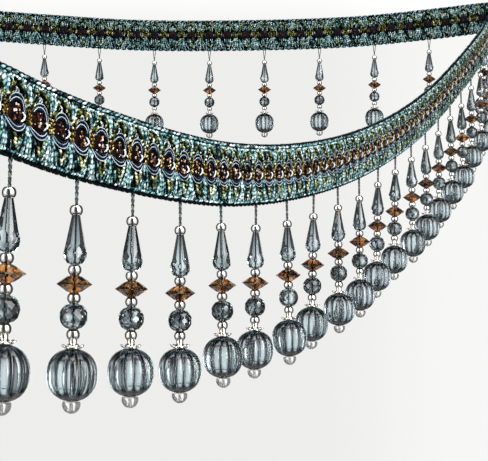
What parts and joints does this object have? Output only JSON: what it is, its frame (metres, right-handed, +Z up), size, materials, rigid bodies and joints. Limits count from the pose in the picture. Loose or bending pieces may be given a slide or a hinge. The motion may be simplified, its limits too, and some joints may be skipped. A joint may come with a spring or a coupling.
{
  "type": "beaded fringe trim",
  "caption": "Woven braid trim with strings of beads sewn along its lower edge, hanging in one long hairpin bend.",
  "frame": {"origin": "on the top edge of the braid, halfway along the back run and halfway through its thickness", "axes": "+Z up, +X right along the back run, +Y away from the front end; the front run comes towards -Y and down"},
  "size_m": [0.4649, 0.921, 0.2554],
  "materials": {
    "braid": "woven yarn",
    "beads": "polished clear acrylic",
    "spacers": "silver-plated metal",
    "amber": "polished amber acrylic",
    "thread": "twisted cord"
  },
  "bodies": {
    "root": {"braid": "braid", "bead_drop_01": "beads", "bead_drop_02": "beads", "bead_drop_03": "beads", "bead_drop_04": "beads", "bead_drop_05": "beads", "bead_drop_06": "beads", "bead_drop_07": "beads", "bead_drop_08": "beads", "bead_drop_09": "beads", "bead_drop_10": "beads", "bead_drop_11": "beads", "bead_drop_12": "beads", "bead_drop_13": "beads", "bead_drop_14": "beads", "bead_drop_15": "beads", "bead_drop_16": "beads", "bead_drop_17": "beads", "bead_drop_18": "beads", "bead_drop_19": "beads", "bead_drop_20": "beads", "bead_drop_21": "beads", "bead_drop_22": "beads", "bead_drop_23": "beads", "bead_drop_24": "beads", "bead_drop_25": "beads", "bead_drop_26": "beads", "bead_drop_27": "beads", "bead_drop_28": "beads", "bead_drop_29": "beads", "bead_drop_30": "beads", "bead_drop_31": "beads"}
  },
  "joints": []
}
